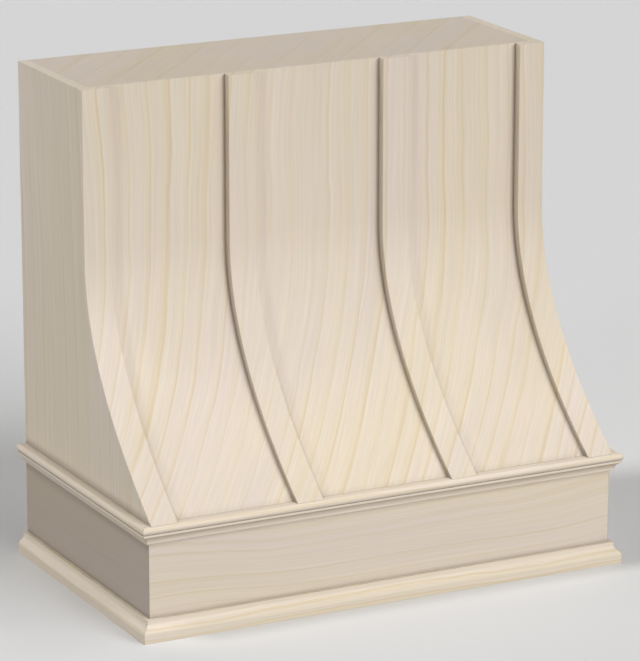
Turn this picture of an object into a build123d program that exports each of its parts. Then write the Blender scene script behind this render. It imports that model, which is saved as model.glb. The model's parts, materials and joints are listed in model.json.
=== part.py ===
from build123d import *

import math
import os

# A wooden range hood cover that hangs on a wall. A canopy with a swept front and
# four applied straps stands on a straight band, and a moulding runs round the top
# and the bottom of the band. The back and the bottom are open for the hood insert
# and its duct.
#
# The frame is in millimetres. X runs along the wall, from the left end to the right.
# Y points to the wall, so the front faces -Y. Z is up, from the bottom edge.
# X and Y are zero at the middle of the outer size. A depth is a distance from the wall.

# Outer sizes
body_width = 914.4
body_height = 914.4
crown_depth = 279.4
band_depth = 533.4
band_height = 207.2

# Sweep of the front: a parabola from this height down to the band, where the strap
# faces stand this far out from the band's own face
sweep_start = 615.95
foot_reach = 12.7

# Stock
board = 19.05
skin_thickness = 6.35
batten = 38.1
ledge_size = 19.05

# Straps: the outer two flush with the sides, the inner two on the thirds of the width
strap_width = 50.8
strap_proud = 15.875
arris = 0.9

# Formers behind the skin, measured square to it
former_width = 50.8

# Rails across the open back
rail_height = 88.9
ledge_rail_height = 38.1
stud_spacing = 406.4
rail_hole_spacing = 50.8
rail_hole_radius = 2.75

# Ledge that a liner screws to, above the bottom edge
ledge_lift = 12.7

# Glue blocks in the front corners of the band
block_leg = 50.8

# Lower moulding: a plain face, an ogee slope and an upright cap
moulding_reach = 19.05
lower_moulding_height = 38.1
lower_face_height = 18.66
lower_cap_reach = 8.0
lower_cap_foot = 27.94
ogee_radius = 10.0

# Upper moulding: a bead on top, a narrow fillet and a cove
upper_moulding_height = 32.7
bead_radius = 6.8
bead_turn = 160
fillet_reach = 16.7
fillet_height = 4.2
cove_radius = 15.0
cove_foot_reach = 6.7

# Countersunk wood screws
screw_radius = 2.1
head_radius = 4.1
head_angle = 82
point_length = 5.0
square_drive = 2.8
drive_depth = 1.9
screw_bite = 12.7
foot_screw_bite = 19.05
foot_screw_inset = 12.7
former_screw_count = 5
band_end_screw_count = 3
band_front_screw_count = 4
crown_cleat_screw_count = 2

# Pocket screws in the ends of the rails
pocket_radius = 4.75
pocket_lean = 15
pocket_floor = 12.7
pocket_screw_radius = 1.8
pocket_head_radius = 4.4
pocket_head_height = 2.2
pocket_screw_length = 31.75
pocket_count = 2

# Places that follow from the sizes
half_width = body_width / 2
inner_half = half_width - board
wall_y = (band_depth + moulding_reach) / 2
sweep_rise = sweep_start - band_height
sweep_reach = band_depth + foot_reach - crown_depth
sweep_overrun = board
ceiling = body_height - board
third = body_width / 3
rib_spread = third / 2
inner_edge = rib_spread + strap_width / 2
cleat_floor = band_height - batten
band_inner = band_depth - board
cleat_back = band_inner - batten
skin_back = crown_depth - strap_proud - skin_thickness
former_back = skin_back - former_width
head_height = (head_radius - screw_radius) / math.tan(math.radians(head_angle / 2))
short_screw = board + screw_bite
long_screw = batten + screw_bite
foot_screw = batten + foot_screw_bite

ON_FACE = (Align.CENTER, Align.CENTER, Align.MAX)
STRAP_EDGES = {
    "strap_left": -half_width,
    "strap_inner_left": -inner_edge,
    "strap_inner_right": inner_edge - strap_width,
    "strap_right": half_width - strap_width,
}


def at_depth(depth):
    """Y of a point that lies this far from the wall."""
    return wall_y - depth


def front_depth(height):
    """Depth of the strap faces at a height."""
    drop = max(sweep_start - height, 0)
    return crown_depth + sweep_reach * (drop / sweep_rise) ** 2


def front_lean(height):
    """Angle of the front at a height, away from upright, in radians."""
    drop = max(sweep_start - height, 0)
    return math.atan(2 * sweep_reach * drop / sweep_rise ** 2)


def sweep_curve(recess, inset):
    """Control points of the swept edge, from its start to just below the foot.

    The edge lies behind the strap faces by the recess, measured level, and by the
    inset, measured square to the curve.
    """
    end_height = band_height - sweep_overrun
    lean = front_lean(end_height)
    start_depth = crown_depth - recess - inset
    end_depth = front_depth(end_height) - recess - inset * math.cos(lean)
    end_level = end_height - inset * math.sin(lean)
    bend_level = end_level + (end_depth - start_depth) / math.tan(lean)
    start = (at_depth(start_depth), sweep_start)
    bend = (at_depth(start_depth), bend_level)
    end = (at_depth(end_depth), end_level)
    return start, bend, end


def swept_board(x_low, width, top, front, back):
    """A board between two swept edges, cut level at its top and its foot."""
    front_curve = sweep_curve(*front)
    back_curve = sweep_curve(*back)
    with BuildPart() as strip:
        with BuildSketch(Plane.YZ.offset(x_low)):
            with BuildLine():
                Bezier(*front_curve)
                Bezier(*back_curve)
                Line(front_curve[-1], back_curve[-1])
                Line(front_curve[0], (front_curve[0][0], top))
                Line((front_curve[0][0], top), (back_curve[0][0], top))
                Line((back_curve[0][0], top), back_curve[0])
            make_face()
        extrude(amount=width)
        split(bisect_by=Plane.XY.offset(band_height), keep=Keep.TOP)
    return strip.part


def block(x_low, x_high, depth_low, depth_high, z_low, z_high):
    """A square-cut piece between two X, two depths and two heights."""
    with BuildPart() as piece:
        with BuildSketch(Plane.XY.offset(z_low)):
            with Locations(((x_low + x_high) / 2, at_depth((depth_low + depth_high) / 2))):
                Rectangle(x_high - x_low, depth_high - depth_low)
        extrude(amount=z_high - z_low)
    return piece.part


def seat(x, depth, height, drive):
    """Place of a screw: its head flush there, its point along the drive direction."""
    away = Vector(*drive) * -1
    return Plane(origin=(x, at_depth(depth), height), z_dir=away).location


def screws(spots, length, mode=Mode.ADD):
    """Countersunk screws at their places, or the holes that they cut."""
    shank = length - point_length
    with Locations(*spots):
        Cylinder(screw_radius, shank, align=ON_FACE, mode=mode)
        Cone(screw_radius, head_radius, head_height, align=ON_FACE, mode=mode)
    with Locations(*[spot * Location((0, 0, -shank)) for spot in spots]):
        Cone(0, screw_radius, point_length, align=ON_FACE, mode=mode)


def square_drives(spots):
    """The square recesses in the heads."""
    with Locations(*spots):
        Box(square_drive, square_drive, drive_depth, align=ON_FACE, mode=Mode.SUBTRACT)


def pocket_spots(heights, side):
    """Places of the pocket screws in one end of a rail, at the floor of each pocket."""
    lean = math.radians(pocket_lean)
    middle = board / 2
    floor_x = side * (inner_half - pocket_floor)
    floor_depth = middle - pocket_floor * math.tan(lean)
    drive = (side * math.cos(lean), -math.sin(lean), 0)
    return [seat(floor_x, floor_depth, height, drive) for height in heights]


def pocket_holes(spots):
    """The leaning pockets, and the pilot holes that the screws fill."""
    reach = board / math.sin(math.radians(pocket_lean))
    with Locations(*spots):
        Cylinder(pocket_radius, reach, align=(Align.CENTER, Align.CENTER, Align.MIN),
                 mode=Mode.SUBTRACT)
    pilot_holes(spots)


def pilot_holes(spots):
    """The part of each pocket screw that stands in the wood ahead of its pocket."""
    with Locations(*spots):
        Cylinder(pocket_screw_radius, pocket_screw_length, align=ON_FACE, mode=Mode.SUBTRACT)


def mitre(side):
    """Upright plane of a front corner's mitre, facing the front piece."""
    corner = (side * half_width, at_depth(band_depth), 0)
    return Plane(origin=corner, z_dir=(-side, -1, 0))


def upper_profile():
    """Section of the upper moulding: how far out it stands, and its height."""
    top = band_height
    bead_in = moulding_reach - bead_radius
    turn = math.radians(bead_turn)
    bead_end = (bead_in + bead_radius * math.sin(turn),
                top - bead_radius + bead_radius * math.cos(turn))
    foot = top - upper_moulding_height
    cove_top = bead_end[1] - fillet_height
    with BuildLine() as outline:
        Polyline((bead_in, top), (0, top), (0, foot), (cove_foot_reach, foot))
        RadiusArc((cove_foot_reach, foot), (fillet_reach, cove_top), cove_radius)
        Polyline((fillet_reach, cove_top), (fillet_reach, bead_end[1]), bead_end)
        ThreePointArc(bead_end, (moulding_reach, top - bead_radius), (bead_in, top))
    return outline.line


def lower_profile():
    """Section of the lower moulding: how far out it stands, and its height."""
    with BuildLine() as outline:
        FilletPolyline((moulding_reach, 0), (moulding_reach, lower_face_height),
                       (lower_cap_reach, lower_cap_foot),
                       (lower_cap_reach, lower_moulding_height), radius=ogee_radius)
        Polyline((lower_cap_reach, lower_moulding_height), (0, lower_moulding_height),
                 (0, 0), (moulding_reach, 0))
    return outline.line


def front_moulding(profile):
    """A moulding along the band's front, mitred at both ends."""
    reach = half_width + moulding_reach
    face = Plane(origin=(-reach, at_depth(band_depth), 0), x_dir=(0, -1, 0), z_dir=(-1, 0, 0))
    with BuildPart() as piece:
        with BuildSketch(face):
            add(profile)
            make_face()
        extrude(amount=-2 * reach)
        split(bisect_by=mitre(-1), keep=Keep.TOP)
        split(bisect_by=mitre(1), keep=Keep.TOP)
    return piece.part


def side_moulding(profile, side):
    """A moulding along one end of the band, from the wall to its mitre."""
    face = Plane(origin=(side * half_width, wall_y, 0), x_dir=(side, 0, 0), z_dir=(0, -side, 0))
    with BuildPart() as piece:
        with BuildSketch(face):
            add(profile)
            make_face()
        extrude(amount=side * (band_depth + moulding_reach))
        split(bisect_by=mitre(side), keep=Keep.BOTTOM)
    return piece.part


def former_line(height):
    """Depth of the middle of a former at a height."""
    across = (skin_thickness + former_width / 2) / math.cos(front_lean(height))
    return front_depth(height) - strap_proud - across


def ends(count, low, high):
    """Evenly spaced places from low to high."""
    return [low + (high - low) * step / (count - 1) for step in range(count)]


# Screw places. Each list serves the holes and the screws that fill them.
former_heights = ends(former_screw_count, band_height + 3 * board, ceiling - 3 * board)
side_depths = ends(band_end_screw_count, 4 * board, cleat_back - 3 * board)
front_spread = inner_half - 4 * board
front_places = ends(band_front_screw_count, -front_spread, front_spread)
crown_depths = ends(crown_cleat_screw_count, 3 * board, former_back - 2 * board)
ledge_level = ledge_lift + ledge_size / 2
cleat_level = band_height - batten / 2
crown_level = ceiling - batten / 2
rail_pockets = ends(pocket_count, -rail_height / 4, rail_height / 4)
crown_rail_middle = ceiling - rail_height / 2
foot_rail_middle = band_height
ledge_rail_middle = ledge_lift + ledge_rail_height / 2
block_face = rib_spread - board / 2 - batten
block_front = skin_back - 2 * skin_thickness


def former_spots(side):
    """Screws from a side former into its side panel."""
    face = side * (inner_half - board)
    return [seat(face, former_line(z), z, (side, 0, 0)) for z in former_heights]


def side_ledge_spots(side):
    """Screws from a side ledge into the band's end board."""
    face = side * (inner_half - ledge_size)
    return [seat(face, depth, ledge_level, (side, 0, 0)) for depth in side_depths]


def side_cleat_spots(side):
    """Screws from a side cleat into the band's end board."""
    face = side * (inner_half - batten)
    return [seat(face, depth, cleat_level, (side, 0, 0)) for depth in side_depths]


def crown_cleat_spots(side):
    """Screws from a crown cleat into its side panel."""
    face = side * (inner_half - batten)
    return [seat(face, depth, crown_level, (side, 0, 0)) for depth in crown_depths]


def crown_top_spots(side):
    """Screws from a crown cleat up into the top panel."""
    middle = side * (inner_half - batten / 2)
    depths = [depth + board for depth in crown_depths]
    return [seat(middle, depth, ceiling - batten, (0, 0, 1)) for depth in depths]


def rib_block_spots(side):
    """Screws from a rib's glue block, one into the rib and one up into the top panel."""
    middle = block_front - batten
    level = seat(side * block_face, middle - board / 2, crown_level, (side, 0, 0))
    upright = seat(side * (block_face + batten / 2), middle + board / 2, ceiling - batten,
                   (0, 0, 1))
    return [level, upright]


front_ledge_spots = [seat(x, band_inner - ledge_size, ledge_level, (0, -1, 0))
                     for x in front_places]
front_cleat_spots = [seat(x, cleat_back, cleat_level, (0, -1, 0)) for x in front_places]
foot_places = [-(inner_half - board / 2), -rib_spread, rib_spread, inner_half - board / 2]
foot_spots = [seat(x, cleat_back + foot_screw_inset, cleat_floor, (0, 0, 1))
              for x in foot_places]


def side_pockets(side, middle, offsets):
    """Pocket screws in one end of a rail whose middle is at this height."""
    return pocket_spots([middle + offset for offset in offsets], side)


def crown_rail_pockets(side):
    return side_pockets(side, crown_rail_middle, rail_pockets)


def foot_rail_pockets(side):
    return side_pockets(side, foot_rail_middle, rail_pockets)


def ledge_rail_pockets(side):
    return side_pockets(side, ledge_rail_middle, [0])


os.makedirs("parts", exist_ok=True)


def save(piece, name):
    """Label a finished piece and write it under its name."""
    piece.label = name
    export_step(piece, f"parts/{name}.step")


def make_side_panel(side, name):
    """A canopy side: straight at the wall, swept at the front, bare of straps."""
    curve = sweep_curve(strap_proud, 0)
    end_height = curve[-1][1]
    x_low = min(side * half_width, side * inner_half)
    with BuildPart() as side_panel:
        with BuildSketch(Plane.YZ.offset(x_low)):
            with BuildLine():
                Bezier(*curve)
                Polyline(curve[-1], (wall_y, end_height), (wall_y, body_height),
                         (curve[0][0], body_height), curve[0])
            make_face()
        extrude(amount=board)
        split(bisect_by=Plane.XY.offset(band_height), keep=Keep.TOP)
        screws(former_spots(side), short_screw, Mode.SUBTRACT)
        screws(crown_cleat_spots(side), long_screw, Mode.SUBTRACT)
        pilot_holes(crown_rail_pockets(side))
        pilot_holes(foot_rail_pockets(side))
    save(side_panel.part, name)


def make_strap(x_low, name):
    """An applied strap, with its long front edges and its top edge eased."""
    with BuildPart() as strap:
        add(swept_board(x_low, strap_width, body_height, (0, 0), (strap_proud, 0)))
        faces = strap.faces().filter_by(Axis.Y) + strap.faces().filter_by(GeomType.EXTRUSION)
        front_face = faces.sort_by(Axis.Y)[0]
        upright_face = strap.faces().filter_by(Axis.Y).sort_by(Axis.Y)[0]
        long_edges = front_face.edges() + upright_face.edges()
        eased = [edge for edge in long_edges if abs(edge.tangent_at(0.5).X) < 0.5]
        fillet(eased, arris)
    save(strap.part, name)


def make_former(middle, name, foot_spot, level_spots, level_length):
    """A curved former: it stands on the band and carries the skin."""
    with BuildPart() as former:
        add(swept_board(middle - board / 2, board, ceiling, (strap_proud, skin_thickness),
                        (strap_proud, skin_thickness + former_width)))
        screws([foot_spot], foot_screw, Mode.SUBTRACT)
        screws(level_spots, level_length, Mode.SUBTRACT)
    save(former.part, name)


def make_rail(middle, height, pockets, name, with_stud_holes):
    """A rail across the open back, with pocket screws in both ends."""
    with BuildPart() as rail:
        add(block(-inner_half, inner_half, 0, board, middle - height / 2, middle + height / 2))
        for side in (-1, 1):
            pocket_holes(pockets(side))
        if with_stud_holes:
            face = Plane(origin=(0, wall_y, middle), x_dir=(-1, 0, 0), z_dir=(0, 1, 0))
            with Locations(face):
                with GridLocations(stud_spacing, rail_hole_spacing, 2, 2):
                    Hole(rail_hole_radius, depth=board)
    save(rail.part, name)


def make_band_end(side, name):
    """An end board of the band, from the wall to the front mitre."""
    x_low = min(side * half_width, side * inner_half)
    with BuildPart() as band_end:
        add(block(x_low, x_low + board, 0, band_depth, 0, band_height))
        split(bisect_by=mitre(side), keep=Keep.BOTTOM)
        screws(side_ledge_spots(side), short_screw, Mode.SUBTRACT)
        screws(side_cleat_spots(side), long_screw, Mode.SUBTRACT)
        pilot_holes(foot_rail_pockets(side))
        pilot_holes(ledge_rail_pockets(side))
    save(band_end.part, name)


def make_side_ledge(side, name):
    """A ledge along one end of the band."""
    x_low = min(side * inner_half, side * (inner_half - ledge_size))
    with BuildPart() as ledge:
        add(block(x_low, x_low + ledge_size, board, band_inner - ledge_size, ledge_lift,
                  ledge_lift + ledge_size))
        screws(side_ledge_spots(side), short_screw, Mode.SUBTRACT)
    save(ledge.part, name)


def make_side_cleat(side, name):
    """A cleat along one end of the band, level with its top."""
    x_low = min(side * inner_half, side * (inner_half - batten))
    with BuildPart() as cleat:
        add(block(x_low, x_low + batten, board, cleat_back, cleat_floor, band_height))
        screws(side_cleat_spots(side), long_screw, Mode.SUBTRACT)
    save(cleat.part, name)


def make_crown_cleat(side, name):
    """A cleat that joins a side panel to the top panel."""
    x_low = min(side * inner_half, side * (inner_half - batten))
    with BuildPart() as cleat:
        add(block(x_low, x_low + batten, board, former_back, ceiling - batten, ceiling))
        screws(crown_cleat_spots(side) + crown_top_spots(side), long_screw, Mode.SUBTRACT)
    save(cleat.part, name)


def make_rib_block(side, name):
    """A glue block that joins the top of a rib to the top panel."""
    x_low = min(side * block_face, side * (block_face + batten))
    with BuildPart() as glue_block:
        add(block(x_low, x_low + batten, block_front - 2 * batten, block_front,
                  ceiling - batten, ceiling))
        screws(rib_block_spots(side), long_screw, Mode.SUBTRACT)
    save(glue_block.part, name)


def make_corner_block(side, name):
    """A three-cornered glue block behind a front mitre of the band."""
    corner = (side * inner_half, at_depth(band_inner))
    along_front = (side * (inner_half - block_leg), at_depth(band_inner))
    along_end = (side * inner_half, at_depth(band_inner - block_leg))
    with BuildPart() as corner_block:
        with BuildSketch(Plane.XY.offset(ledge_lift + ledge_size)):
            with BuildLine():
                Polyline(corner, along_front, along_end, close=True)
            make_face()
        extrude(amount=cleat_floor - ledge_lift - ledge_size)
    save(corner_block.part, name)


# Canopy
make_side_panel(-1, "side_panel_left")
make_side_panel(1, "side_panel_right")

front_skin = swept_board(-inner_half, 2 * inner_half, body_height, (strap_proud, 0),
                         (strap_proud, skin_thickness))
save(front_skin, "front_skin")

with BuildPart() as top_panel:
    add(block(-inner_half, inner_half, 0, skin_back, ceiling, body_height))
    for side in (-1, 1):
        screws(crown_top_spots(side), long_screw, Mode.SUBTRACT)
        screws([rib_block_spots(side)[1]], long_screw, Mode.SUBTRACT)
save(top_panel.part, "top_panel")

for strap_name, left_edge in STRAP_EDGES.items():
    make_strap(left_edge, strap_name)

# Frame inside the canopy
make_former(foot_places[0], "side_former_left", foot_spots[0], former_spots(-1), short_screw)
make_former(foot_places[3], "side_former_right", foot_spots[3], former_spots(1), short_screw)
make_former(foot_places[1], "rib_left", foot_spots[1], rib_block_spots(-1)[:1], long_screw)
make_former(foot_places[2], "rib_right", foot_spots[2], rib_block_spots(1)[:1], long_screw)
make_rib_block(-1, "rib_block_left")
make_rib_block(1, "rib_block_right")
make_crown_cleat(-1, "crown_cleat_left")
make_crown_cleat(1, "crown_cleat_right")

# Rails at the wall
make_rail(crown_rail_middle, rail_height, crown_rail_pockets, "hanging_rail_top", True)
make_rail(foot_rail_middle, rail_height, foot_rail_pockets, "hanging_rail_bottom", True)
make_rail(ledge_rail_middle, ledge_rail_height, ledge_rail_pockets, "liner_ledge_back", False)

# Band
with BuildPart() as band_front:
    add(block(-half_width, half_width, band_inner, band_depth, 0, band_height))
    split(bisect_by=mitre(-1), keep=Keep.TOP)
    split(bisect_by=mitre(1), keep=Keep.TOP)
    screws(front_ledge_spots, short_screw, Mode.SUBTRACT)
    screws(front_cleat_spots, long_screw, Mode.SUBTRACT)
save(band_front.part, "band_front")
make_band_end(-1, "band_end_left")
make_band_end(1, "band_end_right")
make_corner_block(-1, "corner_block_left")
make_corner_block(1, "corner_block_right")

with BuildPart() as cleat_front:
    add(block(-inner_half, inner_half, cleat_back, band_inner, cleat_floor, band_height))
    screws(front_cleat_spots, long_screw, Mode.SUBTRACT)
    screws(foot_spots, foot_screw, Mode.SUBTRACT)
save(cleat_front.part, "cleat_front")
make_side_cleat(-1, "cleat_left")
make_side_cleat(1, "cleat_right")

with BuildPart() as liner_ledge_front:
    add(block(-inner_half, inner_half, band_inner - ledge_size, band_inner, ledge_lift,
              ledge_lift + ledge_size))
    screws(front_ledge_spots, short_screw, Mode.SUBTRACT)
save(liner_ledge_front.part, "liner_ledge_front")
make_side_ledge(-1, "liner_ledge_left")
make_side_ledge(1, "liner_ledge_right")

# Mouldings
for layer, section in (("upper", upper_profile()), ("lower", lower_profile())):
    save(front_moulding(section), f"{layer}_moulding_front")
    save(side_moulding(section, -1), f"{layer}_moulding_left")
    save(side_moulding(section, 1), f"{layer}_moulding_right")

# Screws
with BuildPart() as short_screws:
    spots = list(front_ledge_spots)
    for side in (-1, 1):
        spots += former_spots(side) + side_ledge_spots(side)
    screws(spots, short_screw)
    square_drives(spots)
save(short_screws.part, "short_screws")

with BuildPart() as long_screws:
    spots = list(front_cleat_spots)
    for side in (-1, 1):
        spots += side_cleat_spots(side) + crown_cleat_spots(side)
        spots += crown_top_spots(side) + rib_block_spots(side)
    screws(spots, long_screw)
    square_drives(spots)
save(long_screws.part, "long_screws")

with BuildPart() as foot_screws:
    screws(foot_spots, foot_screw)
    square_drives(foot_spots)
save(foot_screws.part, "foot_screws")

with BuildPart() as pocket_screws:
    spots = []
    for side in (-1, 1):
        spots += crown_rail_pockets(side) + foot_rail_pockets(side) + ledge_rail_pockets(side)
    with Locations(*spots):
        Cylinder(pocket_screw_radius, pocket_screw_length, align=ON_FACE)
        Cylinder(pocket_head_radius, pocket_head_height,
                 align=(Align.CENTER, Align.CENTER, Align.MIN))
    heads = [spot * Location((0, 0, pocket_head_height)) for spot in spots]
    square_drives(heads)
save(pocket_screws.part, "pocket_screws")
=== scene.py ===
# %% [markdown]
# # A wooden range hood cover in unfinished maple
#
# The cover is a cabinet maker's piece: a canopy with a swept front and four applied
# straps, on a straight band with a moulding round its top and its bottom. It hangs on
# a kitchen wall and hides the hood. This lesson takes the finished construction as it
# is and gives it the look of freshly sanded, unfinished wood, in soft studio light.
#
# The construction comes in as a fixed frame, one mesh for each piece of wood, each
# with its place in its vertices. Building the pieces again by eye would lose their
# fit, so they stay where they are, and the work here goes into surfaces and light.

# %% Load the construction
import json
import math

import bmesh
import bpy
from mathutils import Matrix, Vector


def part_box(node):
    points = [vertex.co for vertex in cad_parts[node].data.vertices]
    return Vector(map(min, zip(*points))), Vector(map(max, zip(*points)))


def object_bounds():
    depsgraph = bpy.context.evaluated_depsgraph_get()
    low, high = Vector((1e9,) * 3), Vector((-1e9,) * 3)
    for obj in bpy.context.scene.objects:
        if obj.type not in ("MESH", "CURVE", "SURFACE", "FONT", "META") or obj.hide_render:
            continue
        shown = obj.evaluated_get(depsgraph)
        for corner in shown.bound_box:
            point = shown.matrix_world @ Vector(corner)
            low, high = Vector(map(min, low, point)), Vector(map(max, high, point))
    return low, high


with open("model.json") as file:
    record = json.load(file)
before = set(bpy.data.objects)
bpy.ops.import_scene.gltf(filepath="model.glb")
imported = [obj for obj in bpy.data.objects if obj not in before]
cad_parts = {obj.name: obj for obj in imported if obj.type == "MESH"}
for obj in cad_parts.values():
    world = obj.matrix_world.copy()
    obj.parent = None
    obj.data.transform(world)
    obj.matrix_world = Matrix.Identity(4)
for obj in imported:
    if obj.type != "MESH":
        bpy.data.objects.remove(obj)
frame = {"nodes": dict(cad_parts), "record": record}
nodes = frame["nodes"]
size_of_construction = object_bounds()
low, high = size_of_construction
print("pieces:", len(nodes), "size:", [round(high[axis] - low[axis], 4) for axis in range(3)])

# %% [markdown]
# ## The camera
#
# The view is from the front left and a little above, through a long lens, so the
# upright edges stay almost parallel. The place, the turn and the lens come from the
# object's own straight edges: their vanishing points give all three.

# %% Set up the camera
camera_place = (-3.1237, -6.1270, 2.3557)
camera_down = 15.648
camera_turn = -27.032
lens_on_36_mm = 216.78


def make_camera():
    """The camera, with its sensor's width along the longer side of the picture."""
    data = bpy.data.cameras.new("camera")
    data.sensor_fit = "AUTO"
    data.sensor_width = 36.0
    data.lens = lens_on_36_mm
    data.clip_start = 0.1
    data.clip_end = 100.0
    camera = bpy.data.objects.new("camera", data)
    camera.location = camera_place
    camera.rotation_euler = (math.radians(90 - camera_down), 0, math.radians(camera_turn))
    bpy.context.scene.collection.objects.link(camera)
    bpy.context.scene.camera = camera
    return camera


camera = make_camera()
print("camera at", tuple(round(c, 3) for c in camera.location), "lens", camera.data.lens)

# %% [markdown]
# ## Helpers for node trees
#
# A material is a tree of small nodes. One helper adds a node and fills its sockets with
# values or links. The others do what the trees here need most: a step of arithmetic, a
# smooth change from one value to another, and a mix of two colours.

# %% Make helpers that build node trees
def add_node(tree, kind, inputs=None, **settings):
    """Adds a node. A socket's name or number gets a value, or a link from an output."""
    made = tree.nodes.new(kind)
    for name, value in settings.items():
        setattr(made, name, value)
    for key, value in (inputs or {}).items():
        if isinstance(value, bpy.types.NodeSocket):
            tree.links.new(value, made.inputs[key])
        else:
            made.inputs[key].default_value = value
    return made


def sums(tree, operation, first, second=0.0, third=0.0):
    """One step of arithmetic."""
    inputs = {0: first, 1: second, 2: third}
    return add_node(tree, "ShaderNodeMath", inputs, operation=operation).outputs[0]


def ramp(tree, value, low, high, at_low=0.0, at_high=1.0):
    """Runs smoothly from one value to the other while the input goes from low to high."""
    inputs = {"Value": value, "From Min": low, "From Max": high,
              "To Min": at_low, "To Max": at_high}
    return add_node(tree, "ShaderNodeMapRange", inputs,
                    interpolation_type="SMOOTHSTEP").outputs["Result"]


def blend_colours(tree, share, first, second, way="MIX"):
    """Mixes two colours, or multiplies the first by the second, by that share."""
    made = add_node(tree, "ShaderNodeMix", data_type="RGBA", blend_type=way)
    for socket, value in (("Factor_Float", share), ("A_Color", first), ("B_Color", second)):
        target = next(s for s in made.inputs if s.identifier == socket)
        if isinstance(value, bpy.types.NodeSocket):
            tree.links.new(value, target)
        else:
            target.default_value = value
    return next(s for s in made.outputs if s.identifier == "Result_Color")


print("helpers:", [made.__name__ for made in (add_node, sums, ramp, blend_colours)])

# %% [markdown]
# ## Growth rings in solid wood
#
# A sawn board shows its growth rings as long lines. Each ring darkens slowly through
# the summer, ends in a thin late-wood line, and the next spring's wood starts paler.
# The lines wander a little, are never evenly spaced, and some years are far stronger.
#
# An image of wood could be wrapped round each piece, but it would stretch on the sweep
# and break at every edge. Here the rings are sheets in space, so a line that reaches
# an edge goes on over it, on the sweep the upright lines turn to slanting ones by
# themselves, and the straps show the same tree as the panel behind them.
#
# The pattern has three directions: X across the rings, Y along a ring in plan, and Z
# along the fibres. A Mapping node in each material turns the object's own coordinates
# that way. The pattern itself is a node group, so that every wood can share it.

# %% Make a helper for groups
def new_group(name, inputs, outputs):
    """An empty shader node group with these sockets."""
    group = bpy.data.node_groups.new(name, "ShaderNodeTree")
    for socket, kind, value in inputs:
        made = group.interface.new_socket(name=socket, in_out="INPUT", socket_type=kind)
        if value is not None:
            made.default_value = value
    for socket, kind in outputs:
        group.interface.new_socket(name=socket, in_out="OUTPUT", socket_type=kind)
    source = group.nodes.new("NodeGroupInput")
    sink = group.nodes.new("NodeGroupOutput")
    return group, source.outputs, sink


NUMBER = "NodeSocketFloat"
COLOUR = "NodeSocketColor"
VECTOR = "NodeSocketVector"
print("socket kinds:", NUMBER, COLOUR, VECTOR)

# %% [markdown]
# The patterns come from noise: soft random values that change smoothly from place to
# place. Wood is drawn out along its fibres, so the noise is too. A pattern's scale says
# how many times it changes in a metre: across the rings, along a ring, and along the
# fibres, where the number is small.

# %% Make helpers for patterns
def noise(tree, place, scale, detail=2.0, roughness=0.5):
    """Soft noise from 0 to 1, with most of it near the middle."""
    inputs = {"Vector": place, "Scale": scale, "Detail": detail, "Roughness": roughness}
    return add_node(tree, "ShaderNodeTexNoise", inputs).outputs[0]


def stretched(tree, place, factors):
    """A place with each axis multiplied, so that noise on it is drawn out."""
    inputs = {0: place, 1: factors}
    return add_node(tree, "ShaderNodeVectorMath", inputs, operation="MULTIPLY").outputs[0]


def swing(tree, value, size, middle):
    """The middle value, moved up and down by noise of that size."""
    return sums(tree, "MULTIPLY_ADD", sums(tree, "SUBTRACT", value, 0.5), size, middle)


def by_chance(tree, number):
    """Random values that stay the same for each whole number."""
    return add_node(tree, "ShaderNodeTexWhiteNoise", {"W": number},
                    noise_dimensions="1D").outputs


print("helpers:", [made.__name__ for made in (noise, stretched, swing, by_chance)])

# %% [markdown]
# First the rings are counted. The place across them is moved by two noises, a broad one
# for the tree's bends and a smaller one for its wobbles, and is divided by the width of
# a ring. The whole number says which year it is, and the rest how far that year has
# come. A third noise makes the years uneven.

# %% Bend and count the rings
BEND_SCALE = (2.2, 0.9, 1.3)
WOBBLE_SCALE = (7.0, 3.0, 6.0)
WOBBLE_REACH = 0.013
UNEVEN_YEARS = 0.9
YEARS_TO_NOISE = 0.6


def bent_across(group, place, across, wander):
    """The place across the rings, moved by the tree's bends and wobbles."""
    bend = noise(group, stretched(group, place, BEND_SCALE), 1.0, 1.0)
    wobble = noise(group, stretched(group, place, WOBBLE_SCALE), 1.0, 2.0)
    return swing(group, wobble, WOBBLE_REACH, swing(group, bend, wander, across))


def year_and_season(group, across, ring_width):
    """The year's number, and how far that year has come, from 0 to 1."""
    count = sums(group, "DIVIDE", across, ring_width)
    uneven = add_node(group, "ShaderNodeTexNoise",
                      {"W": sums(group, "MULTIPLY", count, YEARS_TO_NOISE),
                       "Scale": 1.0, "Detail": 1.0}, noise_dimensions="1D").outputs[0]
    count = sums(group, "MULTIPLY_ADD", uneven, UNEVEN_YEARS, count)
    return sums(group, "FLOOR", count), sums(group, "FRACT", count)


print("wobbles reach", round(1000 * WOBBLE_REACH / 2, 1), "mm to either side")

# %% [markdown]
# Then each year is drawn. Summer wood is a slow yellowing, late wood a thin line with a
# sharp end, and spring wood a paler stripe just after it. Every year has its own
# strength, by chance, and its line fades in and out along the board. A finer, fainter
# set of rings fills the space between.

# %% Draw the years
# When each part of a year begins and is full, or begins to fade and is gone.
SUMMER, LATE_WOOD, LINE_ENDS = (0.45, 0.93), (0.78, 0.95), (0.955, 1.0)
SPRING_RISES, SPRING_FADES = (0.0, 0.03), (0.05, 0.24)
WEAKEST_LINE, CHANCE_OF_STRENGTH = 0.32, 0.95
FADE_SCALE, FADE_NOISE, FADED_LINE = (6.0, 6.0, 2.2), (0.34, 0.58), 0.55
LINE_CURVE, FINE_CURVE = 1.4, 3.0
SPRING_SHARE = 0.8
FINE_RING_WIDTH, FINE_RING_SHARE = 0.0095, 0.22


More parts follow.
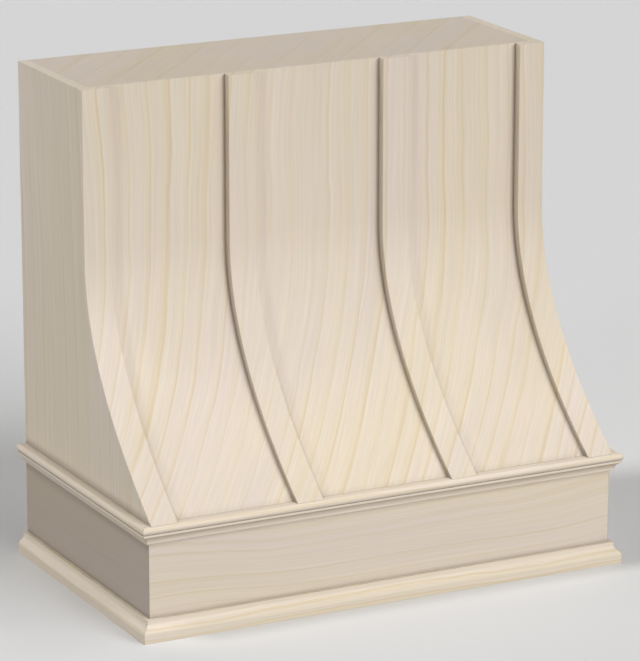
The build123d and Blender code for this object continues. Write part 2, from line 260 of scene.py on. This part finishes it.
def late_and_summer(group, season, chance, place, line_strength):
    """How much late wood and how much summer wood a place shows."""
    sharp_end = ramp(group, season, *LINE_ENDS, 1.0, 0.0)
    summer = sums(group, "MULTIPLY", ramp(group, season, *SUMMER), sharp_end)
    line = sums(group, "POWER", ramp(group, season, *LATE_WOOD), LINE_CURVE)
    line = sums(group, "MULTIPLY", line, sharp_end)
    fade = ramp(group, noise(group, stretched(group, place, FADE_SCALE), 1.0, 2.0),
                *FADE_NOISE, FADED_LINE, 1.0)
    strength = sums(group, "MULTIPLY_ADD", chance, CHANCE_OF_STRENGTH, WEAKEST_LINE)
    strength = sums(group, "MULTIPLY", sums(group, "MULTIPLY", strength, fade), line_strength)
    return sums(group, "MULTIPLY", line, strength), sums(group, "MULTIPLY", summer, strength)


def spring_stripe(group, season, chance, line_strength):
    """How much of the paler stripe just after the line a place shows."""
    stripe = sums(group, "MULTIPLY", ramp(group, season, *SPRING_RISES),
                  ramp(group, season, *SPRING_FADES, 1.0, 0.0))
    stripe = sums(group, "MULTIPLY", stripe, sums(group, "MULTIPLY", chance, SPRING_SHARE))
    return sums(group, "MULTIPLY", stripe, line_strength)


def fine_rings(group, across):
    """The finer rings, each with its own strength and a sharp end."""
    count = sums(group, "DIVIDE", across, FINE_RING_WIDTH)
    chance = by_chance(group, sums(group, "FLOOR", count))["Value"]
    rise = sums(group, "POWER", sums(group, "FRACT", count), FINE_CURVE)
    fine = sums(group, "MULTIPLY", rise, sums(group, "POWER", chance, 2.0))
    return sums(group, "MULTIPLY", fine, FINE_RING_SHARE)


print("fine rings every", 1000 * FINE_RING_WIDTH, "mm")

# %% [markdown]
# A board also has streaks a few millimetres wide, fine fibres, and broad clouds and
# zones that are a little darker or yellower. The streaks and fibres make the surface's
# small height as well. All of them follow the bent rings, so nothing crosses a line.

# %% Draw the streaks and fibres
STREAK_SCALE, STREAK_SHARE = (330.0, 9.0, 3.2), 0.23
FIBRE_SCALE, FIBRE_SHARE = (1500.0, 160.0, 26.0), 0.07
CLOUD_SCALE, CLOUD_SHARE = (14.0, 5.0, 1.6), 0.10
ZONE_SCALE, ZONE_NOISE = (9.0, 3.0, 1.1), (0.3, 0.7)
BLUEST_ZONE, YELLOWEST_ZONE = 1.05, 0.96
FIBRE_HEIGHT, STREAK_HEIGHT = 0.6, 0.4


def streaks_and_fibres(group, sheet, streak_strength):
    """A tint that lightens and darkens the wood, and the height of its fibres."""
    streaks = noise(group, stretched(group, sheet, STREAK_SCALE), 1.0, 3.0, 0.6)
    fibres = noise(group, stretched(group, sheet, FIBRE_SCALE), 1.0, 2.0, 0.6)
    clouds = noise(group, stretched(group, sheet, CLOUD_SCALE), 1.0, 2.0)
    zones = noise(group, stretched(group, sheet, ZONE_SCALE), 1.0, 1.0)
    tone = swing(group, streaks, STREAK_SHARE, 1.0)
    tone = swing(group, fibres, FIBRE_SHARE, tone)
    tone = swing(group, clouds, CLOUD_SHARE, tone)
    tone = sums(group, "MULTIPLY_ADD", sums(group, "SUBTRACT", tone, 1.0),
                streak_strength, 1.0)
    blue = sums(group, "MULTIPLY", tone,
                ramp(group, zones, *ZONE_NOISE, BLUEST_ZONE, YELLOWEST_ZONE))
    tint = add_node(group, "ShaderNodeCombineColor", {0: tone, 1: tone, 2: blue}).outputs[0]
    height = sums(group, "MULTIPLY", streaks, STREAK_HEIGHT)
    height = sums(group, "MULTIPLY_ADD", fibres, FIBRE_HEIGHT, height)
    return tint, height


print("streaks every", round(1000 / STREAK_SCALE[0], 1), "mm, fibres every",
      round(1000 / FIBRE_SCALE[0], 1), "mm")

# %% [markdown]
# The group puts these together: the plain wood, the colours of each year over it, and
# the tint over all. It is made once, and each material gives it its own colours, width
# of ring and strengths.

# %% Make the group of growth rings
def make_growth_rings():
    """Rings, streaks and fibres of pale wood, as a colour and a height."""
    group, given, out = new_group(
        "growth_rings",
        [("Place", VECTOR, None), ("Wood", COLOUR, None), ("Late Wood", COLOUR, None),
         ("Summer Wood", COLOUR, None), ("Spring Wood", COLOUR, None),
         ("Ring Width", NUMBER, 0.030), ("Wander", NUMBER, 0.07),
         ("Line Strength", NUMBER, 1.0), ("Streak Strength", NUMBER, 1.0)],
        [("Color", COLOUR), ("Height", NUMBER)])
    place, line_strength = given["Place"], given["Line Strength"]
    parts = add_node(group, "ShaderNodeSeparateXYZ", {0: place}).outputs
    across = bent_across(group, place, parts["X"], given["Wander"])
    year, season = year_and_season(group, across, given["Ring Width"])
    chances = add_node(group, "ShaderNodeSeparateColor",
                       {0: by_chance(group, year)["Color"]}).outputs
    late, summer = late_and_summer(group, season, chances["Red"], place, line_strength)
    spring = spring_stripe(group, season, chances["Green"], line_strength)
    sheet = add_node(group, "ShaderNodeCombineXYZ",
                     {"X": across, "Y": parts["Y"], "Z": parts["Z"]}).outputs[0]
    tint, height = streaks_and_fibres(group, sheet, given["Streak Strength"])
    colour = given["Wood"]
    for share, over in ((summer, "Summer Wood"), (fine_rings(group, across), "Late Wood"),
                        (late, "Late Wood"), (spring, "Spring Wood")):
        colour = blend_colours(group, share, colour, given[over])
    colour = blend_colours(group, 1.0, colour, tint, "MULTIPLY")
    group.links.new(colour, out.inputs["Color"])
    group.links.new(height, out.inputs["Height"])
    return group


growth_rings = make_growth_rings()
print("growth rings:", len(growth_rings.nodes), "nodes")

# %% [markdown]
# ## Sanded wood, with painted shade in the corners
#
# Sanded bare wood is rough and hardly shines, so the roughness is high and the fibres
# leave a very fine relief. Two more things are added. One comes from handwork: the sharp
# arrises are broken with a few strokes of sandpaper, which a Bevel node shows by rounding
# the normal. The other is painted shade: an Ambient Occlusion node finds the inner
# corners, and their colour is darkened. The arrises could be modelled, but they are only
# a millimetre or two wide, and every wood shares both effects, so they are one more group.

# %% Paint shade into the inner corners
# How dark the painted shade is in the inner corners; level ledges get it darker still.
PAINTED_SHADE_TONE = 0.49
DEEP_CORNER, OPEN_PLACE = 0.15, 0.81
LEDGE_PAINTED_SHADE, NEARLY_LEVEL, LEVEL = -0.2, 0.85, 0.98
LOOK_DOWN = (0.0, 0.0, -0.7)
FLOOR_LEVEL, CLEAR_OF_FLOOR = 0.010, 0.034


def painted_corner_shade(group, reach, painted_shade_tone):
    """Painted shade: the share of its colour that a place keeps, less in the inner corners."""
    # The corners are looked for a little downwards, because ledges get the darkest painted
    # shade.
    facing = add_node(group, "ShaderNodeNewGeometry").outputs["Normal"]
    down = add_node(group, "ShaderNodeVectorMath", {0: facing, 1: LOOK_DOWN},
                    operation="ADD").outputs[0]
    down = add_node(group, "ShaderNodeVectorMath", {0: down}, operation="NORMALIZE").outputs[0]
    corner = add_node(group, "ShaderNodeAmbientOcclusion",
                      {"Distance": reach, "Normal": down}, samples=8)
    # Level ledges get a darker painted shade still in their corners.
    upward = add_node(group, "ShaderNodeSeparateXYZ", {0: facing}).outputs["Z"]
    ledge = ramp(group, upward, NEARLY_LEVEL, LEVEL)
    tone = sums(group, "MULTIPLY_ADD", ledge, LEDGE_PAINTED_SHADE, painted_shade_tone)
    shade = ramp(group, corner.outputs["AO"], DEEP_CORNER, OPEN_PLACE, tone, 1.0)
    # The floor makes no corner with the cover, so the lowest edge gets no painted shade.
    place = add_node(group, "ShaderNodeTexCoord").outputs["Object"]
    level = add_node(group, "ShaderNodeSeparateXYZ", {0: place}).outputs["Z"]
    depth = sums(group, "MULTIPLY", sums(group, "SUBTRACT", 1.0, shade),
                 ramp(group, level, FLOOR_LEVEL, CLEAR_OF_FLOOR))
    return sums(group, "SUBTRACT", 1.0, depth)


print("inner corners keep", PAINTED_SHADE_TONE, "of their light")

# %% Make the group of sanded wood and painted shade
RELIEF = 0.0002
UNEVEN_DULLNESS = 0.06


def make_sanded_wood_and_painted_shade():
    """Worn arrises, painted shade in the inner corners, fine relief and an uneven dullness."""
    group, given, out = new_group(
        "sanded_wood_and_painted_shade",
        [("Color", COLOUR, None), ("Height", NUMBER, 0.5), ("Dullness", NUMBER, 0.6),
         ("Corner Reach", NUMBER, 0.022), ("Painted Shade Tone", NUMBER, PAINTED_SHADE_TONE),
         ("Arris Radius", NUMBER, 0.0015)],
        [("Color", COLOUR), ("Normal", VECTOR), ("Roughness", NUMBER)])
    shade = painted_corner_shade(group, given["Corner Reach"], given["Painted Shade Tone"])
    # The colour is multiplied by the painted shade of the inner corners.
    grey = add_node(group, "ShaderNodeCombineColor", {0: shade, 1: shade, 2: shade}).outputs[0]
    colour = blend_colours(group, 1.0, given["Color"], grey, "MULTIPLY")
    arris = add_node(group, "ShaderNodeBevel", {"Radius": given["Arris Radius"]}, samples=4)
    relief = add_node(group, "ShaderNodeBump",
                      {"Strength": 0.25, "Distance": RELIEF, "Height": given["Height"],
                       "Normal": arris.outputs[0]})
    uneven = ramp(group, given["Height"], 0.3, 0.7, UNEVEN_DULLNESS, -UNEVEN_DULLNESS)
    group.links.new(colour, out.inputs["Color"])
    group.links.new(relief.outputs[0], out.inputs["Normal"])
    group.links.new(sums(group, "ADD", given["Dullness"], uneven), out.inputs["Roughness"])
    return group


sanded_wood_and_painted_shade = make_sanded_wood_and_painted_shade()
print("sanded wood:", len(sanded_wood_and_painted_shade.nodes), "nodes")

# %% [markdown]
# ## The wood materials
#
# One function makes every kind of wood: it turns the object's coordinates so that the
# grain runs the way the board was cut, calls the group of rings, and finishes the
# surface. Grain runs along a rail or a moulding, and upright on the canopy.
#
# The surface is the Principled shader. It stays in the material and not in a group,
# because that is where the tools that bake a material's colours look for it.

# %% Make a helper that finishes a wood
def finish_wood(tree, colour, height, painted_shade_tone=PAINTED_SHADE_TONE):
    """Ends a wood material with the sanded surface and its painted corner shade."""
    sanded = add_node(tree, "ShaderNodeGroup", node_tree=sanded_wood_and_painted_shade)
    sanded.inputs["Painted Shade Tone"].default_value = painted_shade_tone
    tree.links.new(colour, sanded.inputs["Color"])
    tree.links.new(height, sanded.inputs["Height"])
    surface = add_node(tree, "ShaderNodeBsdfPrincipled",
                       {"Base Color": sanded.outputs["Color"], "Specular IOR Level": 0.25,
                        "Roughness": sanded.outputs["Roughness"],
                        "Normal": sanded.outputs["Normal"]})
    output = add_node(tree, "ShaderNodeOutputMaterial")
    tree.links.new(surface.outputs[0], output.inputs["Surface"])


print("sanded wood gives:", [socket.name for socket in sanded_wood_and_painted_shade.interface.items_tree
                             if socket.in_out == "OUTPUT"])

# %% Make a helper for solid wood
TURNS = {
    "along_x": (0.0, math.radians(90), 0.0),
    "along_y": (math.radians(90), 0.0, math.radians(90)),
    "upright": (0.0, 0.0, math.radians(41)),
}


def make_wood(name, way, wood, summer, late, spring, ring_width=0.030, wander=0.07,
              lines=1.0, streaks=1.0, shift=(0.0, 0.0, 0.0), painted_shade_tone=PAINTED_SHADE_TONE):
    """A matte, unfinished wood with its grain along the given direction."""
    material = bpy.data.materials.new(name)
    material.use_nodes = True
    tree = material.node_tree
    tree.nodes.clear()
    place = add_node(tree, "ShaderNodeTexCoord").outputs["Object"]
    turned = add_node(tree, "ShaderNodeMapping", {"Vector": place, "Rotation": TURNS[way],
                                                  "Location": shift}).outputs[0]
    rings = add_node(tree, "ShaderNodeGroup", node_tree=growth_rings)
    for socket, value in (("Wood", wood), ("Summer Wood", summer), ("Late Wood", late),
                          ("Spring Wood", spring), ("Ring Width", ring_width),
                          ("Wander", wander),
                          ("Line Strength", lines), ("Streak Strength", streaks)):
        rings.inputs[socket].default_value = value
    tree.links.new(turned, rings.inputs["Place"])
    finish_wood(tree, rings.outputs["Color"], rings.outputs["Height"], painted_shade_tone)
    return material


print("ways of the grain:", list(TURNS))

# %% [markdown]
# A wood needs four colours: its ground, and those of the summer, the late line and the
# spring. They are written as a paint chart gives them, 0 to 255, and were chosen by
# comparing the render with the photo. A shader wants linear light, so a helper turns
# them. No two boards match: the mouldings are a shade paler than the front. The top's
# colours are painted shade, a little darker than the front's, and the band's two ends
# are darker still.

# %% Set the colours of the woods
def rgb(red, green, blue):
    """A colour as a paint chart gives it, 0 to 255, made linear for the shader."""
    parts = []
    for value in (red, green, blue):
        share = value / 255
        parts.append(share / 12.92 if share <= 0.04045 else ((share + 0.055) / 1.055) ** 2.4)
    return (*parts, 1.0)


maple = {"wood": rgb(219, 206, 189), "summer": rgb(219, 205, 183),
         "late": rgb(213, 195, 166), "spring": rgb(221, 210, 196)}
side_colours = {**maple, "wood": rgb(218, 206, 186)}
moulding_colours = {"wood": rgb(224, 211, 194), "summer": rgb(224, 210, 188),
                    "late": rgb(218, 200, 171), "spring": rgb(226, 215, 201)}
# The top's colours are painted shade: a little darker than the front's maple.
top_maple_painted_darker = {"wood": rgb(207, 194, 177), "summer": rgb(206, 193, 172),
             "late": rgb(200, 184, 158), "spring": rgb(210, 198, 182)}
dark_maple = {"wood": rgb(180, 168, 154), "summer": rgb(179, 166, 150),
              "late": rgb(174, 161, 145), "spring": rgb(182, 171, 158)}
poplar = {"wood": rgb(217, 205, 178), "summer": rgb(213, 200, 168),
          "late": rgb(198, 186, 148), "spring": rgb(220, 209, 186)}
print("maple as linear light:", [round(c, 3) for c in maple["wood"]])

# %% [markdown]
# Each kind of board gets its own width of ring and strength of line: the top is cut so
# that its lines lie far apart, and the band's ends are almost plain. A shift takes a
# wood from another part of the tree, so that it does not repeat its neighbour. A
# moulding is all small hollows, so the painted shade in its corners is much lighter. The
# hidden frame is poplar, greener, with narrow rings.

# %% Make the wood materials
front_maple = make_wood("front_maple", "upright", **maple)
side_maple = make_wood("side_maple", "upright", lines=0.75, **side_colours)
# The top is painted a little darker, as shade.
top_board_painted_darker = make_wood("top_maple_painted_darker", "upright", ring_width=0.055, lines=0.6,
                            streaks=0.5, **top_maple_painted_darker)
band_maple = make_wood("band_front_maple", "along_x", ring_width=0.024, wander=0.13,
                       lines=0.65, streaks=0.8, shift=(0.0, 0.3, 0.7), **maple)
end_maple = make_wood("band_end_maple", "along_y", lines=0.3, streaks=0.35, **dark_maple)
# The mouldings get a lighter painted shade in their corners.
moulding_look = {**moulding_colours, "ring_width": 0.02, "painted_shade_tone": 0.84}
moulding_maple = {
    "along_x": make_wood("front_moulding_maple", "along_x", shift=(0.3, 0.0, 0.4),
                         **moulding_look),
    "along_y": make_wood("end_moulding_maple", "along_y", shift=(0.5, 0.0, 0.1),
                         **moulding_look),
}
frame_poplar = {
    way: make_wood(f"frame_poplar_{way}", way, shift=(0.7, 0.2, 0.3), ring_width=0.011,
                   wander=0.12, lines=0.9, **poplar)
    for way in TURNS
}
print("woods:", [material.name for material in bpy.data.materials])

# %% [markdown]
# ## Birch plywood for the formers
#
# The formers carry the sweep, so they are cut from plywood, which stays flat and does
# not split along a curve. The faces show birch veneer. The cut edges show the layers:
# pale ones along the grain, darker ones across it, and a thin line of glue between.
#
# The layers have to fill the real board. Its thickness could be typed again, but it
# might drift away from the construction, so it is read from a piece.

# %% Read the thickness of a board
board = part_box("band_end_left")[1].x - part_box("band_end_left")[0].x
print("board:", round(1000 * board, 2), "mm")

# %% Make the plywood materials
LAYERS = 13
GLUE_SHARE = 0.7
UPRIGHT_FIBRES, LEVEL_FIBRES = (60.0, 420.0, 6.0), (60.0, 6.0, 420.0)
VENEER_BANDS = (6.0, 16.0, 1.4)


def make_plywood(name, first_face, thickness):
    """Plywood with its layers stacked along X, from the place of its first face."""
    material = bpy.data.materials.new(name)
    material.use_nodes = True
    tree = material.node_tree
    tree.nodes.clear()
    place = add_node(tree, "ShaderNodeTexCoord").outputs["Object"]
    parts = add_node(tree, "ShaderNodeSeparateXYZ", {0: place}).outputs
    depth = add_node(tree, "ShaderNodeMapRange",
                     {"Value": parts["X"], "From Min": first_face,
                      "From Max": first_face + thickness, "To Min": 0.02 * LAYERS,
                      "To Max": 0.98 * LAYERS}).outputs["Result"]
    layer = sums(tree, "FLOOR", depth)
    inside = sums(tree, "FRACT", depth)
    crosswise = sums(tree, "MODULO", layer, 2.0)
    glue = sums(tree, "ADD", ramp(tree, inside, 0.03, 0.11, 1.0, 0.0),
                ramp(tree, inside, 0.89, 0.97))
    upright = noise(tree, stretched(tree, place, UPRIGHT_FIBRES), 1.0, 3.0, 0.6)
    level = noise(tree, stretched(tree, place, LEVEL_FIBRES), 1.0, 3.0, 0.6)
    bands = noise(tree, stretched(tree, place, VENEER_BANDS), 1.0, 2.0)
    face = blend_colours(tree, ramp(tree, upright, 0.3, 0.7), rgb(206, 184, 148),
                         rgb(218, 199, 166))
    face = blend_colours(tree, ramp(tree, bands, 0.45, 0.7, 0.0, 0.5), face,
                         rgb(196, 168, 128))
    core = blend_colours(tree, ramp(tree, level, 0.3, 0.7), rgb(176, 144, 104),
                         rgb(190, 160, 120))
    colour = blend_colours(tree, crosswise, face, core)
    colour = blend_colours(tree, sums(tree, "MULTIPLY", glue, GLUE_SHARE), colour,
                           rgb(112, 84, 58))
    finish_wood(tree, colour, upright)
    return material


print("plywood layer:", round(1000 * board / LAYERS, 2), "mm")

# %% [markdown]
# ## Zinc-plated screws
#
# The screws are inside the frame and show only from behind or below. Bright zinc is a
# thin grey metal coat with a faint blue and yellow bloom.

# %% Make the zinc material
def make_zinc():
    """Bright zinc plate with a soft bloom and fine scratches."""
    material = bpy.data.materials.new("zinc_plate")
    material.use_nodes = True
    tree = material.node_tree
    tree.nodes.clear()
    place = add_node(tree, "ShaderNodeTexCoord").outputs["Object"]
    bloom = noise(tree, place, 160.0, 3.0)
    colour = blend_colours(tree, ramp(tree, bloom, 0.35, 0.65), rgb(190, 192, 196),
                           rgb(204, 200, 188))
    fine = noise(tree, place, 1400.0, 3.0)
    surface = add_node(tree, "ShaderNodeBsdfPrincipled",
                       {"Base Color": colour, "Metallic": 1.0,
                        "Roughness": ramp(tree, fine, 0.3, 0.7, 0.28, 0.46)})
    output = add_node(tree, "ShaderNodeOutputMaterial")
    tree.links.new(surface.outputs[0], output.inputs["Surface"])
    return material


zinc = make_zinc()
print("zinc:", len(zinc.node_tree.nodes), "nodes")

# %% [markdown]
# ## Every piece gets its material
#
# The record says what each piece is made of. The way of the grain comes from the piece
# itself: a rail, a cleat or a moulding has its grain along its longest side.

# %% Give every piece its material
def way_of_grain(name):
    """The direction of a piece's longest side."""
    low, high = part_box(name)
    sides = [high[axis] - low[axis] for axis in range(3)]
    return ("along_x", "along_y", "upright")[sides.index(max(sides))]


def material_for(name, slot):
    """The material of a piece, from its slot and its own shape."""
    if slot == "screw_steel":
        return zinc
    if slot == "former_plywood":
        return make_plywood(f"birch_{name}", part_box(name)[0].x, board)
    if slot == "frame_timber":
        return frame_poplar[way_of_grain(name)]
    if slot == "maple_moulding":
        return moulding_maple[way_of_grain(name)]
    if slot == "maple_band":
        return band_maple if way_of_grain(name) == "along_x" else end_maple
    if name == "top_panel":
        return top_board_painted_darker
    return front_maple if name == "front_skin" or slot == "maple_strap" else side_maple


for part in frame["record"]["subparts"]:
    mesh = nodes[part["node"]].data
    mesh.materials.clear()
    mesh.materials.append(material_for(part["node"], part["material_slot"]))

# %% [markdown]
# ## Floor and surroundings
#
# A product picture stands on a plain pale floor. The floor keeps the cover's shadow.
# It looks pale to the camera, but sends little light back up, because a white floor
# would wash out the shaded undersides of the mouldings. The world does the same: a pale
# backdrop to the camera, and only a trace of even light on the wood.

# %% Make the floor
FLOOR_SEEN, FLOOR_THAT_LIGHTS = 0.80, 0.22
FLOOR_HALF_SIDE = 20.0


def seen_rays(tree):
    """1 for what the camera, a reflection or glass shows, 0 for light that lights."""
    path = add_node(tree, "ShaderNodeLightPath").outputs
    seen = sums(tree, "MAXIMUM", path["Is Camera Ray"], path["Is Glossy Ray"])
    return sums(tree, "MAXIMUM", seen, path["Is Transmission Ray"])


def make_floor():
    """A wide plain floor at the level of the bottom edge."""
    plan = bmesh.new()
    bmesh.ops.create_grid(plan, x_segments=1, y_segments=1, size=FLOOR_HALF_SIDE)
    mesh = bpy.data.meshes.new("floor")
    plan.to_mesh(mesh)
    plan.free()
    floor = bpy.data.objects.new("floor", mesh)
    bpy.context.scene.collection.objects.link(floor)
    material = bpy.data.materials.new("pale_floor")
    material.use_nodes = True
    tree = material.node_tree
    tree.nodes.clear()
    colour = blend_colours(tree, seen_rays(tree), (*[FLOOR_THAT_LIGHTS] * 3, 1.0),
                           (*[FLOOR_SEEN] * 3, 1.0))
    surface = add_node(tree, "ShaderNodeBsdfDiffuse", {"Color": colour})
    output = add_node(tree, "ShaderNodeOutputMaterial")
    tree.links.new(surface.outputs[0], output.inputs["Surface"])
    mesh.materials.append(material)
    return floor


floor = make_floor()
print("floor:", 2 * FLOOR_HALF_SIDE, "m wide")

# %% Make the world
EVEN_LIGHT, BACKDROP = 0.01, 0.62


def make_world():
    """Faint even light, with a pale backdrop for the camera."""
    world = bpy.data.worlds.new("studio")
    world.use_nodes = True
    tree = world.node_tree
    tree.nodes.clear()
    level = ramp(tree, seen_rays(tree), 0.0, 1.0, EVEN_LIGHT, BACKDROP)
    sky = add_node(tree, "ShaderNodeBackground", {"Color": (1.0, 1.0, 1.0, 1.0),
                                                  "Strength": level})
    output = add_node(tree, "ShaderNodeOutputWorld")
    tree.links.new(sky.outputs[0], output.inputs["Surface"])
    bpy.context.scene.world = world


make_world()
print("even light", EVEN_LIGHT, "backdrop", BACKDROP)

# %% [markdown]
# ## Studio lamps
#
# The light on the flat faces is even from left to right, as from lamps far away, so
# each lamp is a sun with a wide disk, which gives soft shadow edges. A big key from the
# front right lights the front and the sweep, with weaker ones above it and further
# round. A strong one from high on the left and a little behind the front brings out the
# ends' mouldings, and cannot reach the straps' left faces, which stay dark. A low one
# from the front left draws a faint shade right of each strap. Two more light the back
# and the right end, where this camera does not look.

# %% Make the lamps
LAMP_DISTANCE = 4.0


def make_lamp(name, azimuth, elevation, spread, strength):
    """A far lamp with a soft disk. Azimuth 0 is in front of the cover, 90 to its right."""
    turn, rise = math.radians(azimuth), math.radians(elevation)
    away = Vector((math.sin(turn) * math.cos(rise), -math.cos(turn) * math.cos(rise),
                   math.sin(rise)))
    data = bpy.data.lights.new(name, "SUN")
    data.angle = math.radians(spread)
    data.energy = strength
    lamp = bpy.data.objects.new(name, data)
    lamp.location = away * LAMP_DISTANCE
    lamp.rotation_euler = (-away).to_track_quat("-Z", "Y").to_euler()
    bpy.context.scene.collection.objects.link(lamp)
    return lamp


# Each lamp: its azimuth, its elevation and the width of its disk in degrees, its strength.
LAMPS = {
    "key": (18, 16, 26, 1.59),
    "right_key": (42, 30, 24, 0.64),
    "right_high": (78, 47, 24, 0.34),
    "front_high": (5, 50, 20, 0.56),
    "left_fill": (-63, 6, 10, 0.64),
    "left_high": (-105, 60, 14, 1.0),
    "left_end": (-105, 5, 16, 0.70),
    "right_end": (105, 1, 20, 0.7),
    "behind": (180, 1, 30, 1.7),
}
lamps = [make_lamp(name, *measures) for name, measures in LAMPS.items()]
print("lamps:", [lamp.name for lamp in lamps])

# %% [markdown]
# ## Last settings
# The Standard view shows colours as they are written. The size of the dressed cover is
# written next to the construction's own, so that a piece that grew would be noticed.

# %% Finish
bpy.context.scene.view_settings.view_transform = "Standard"
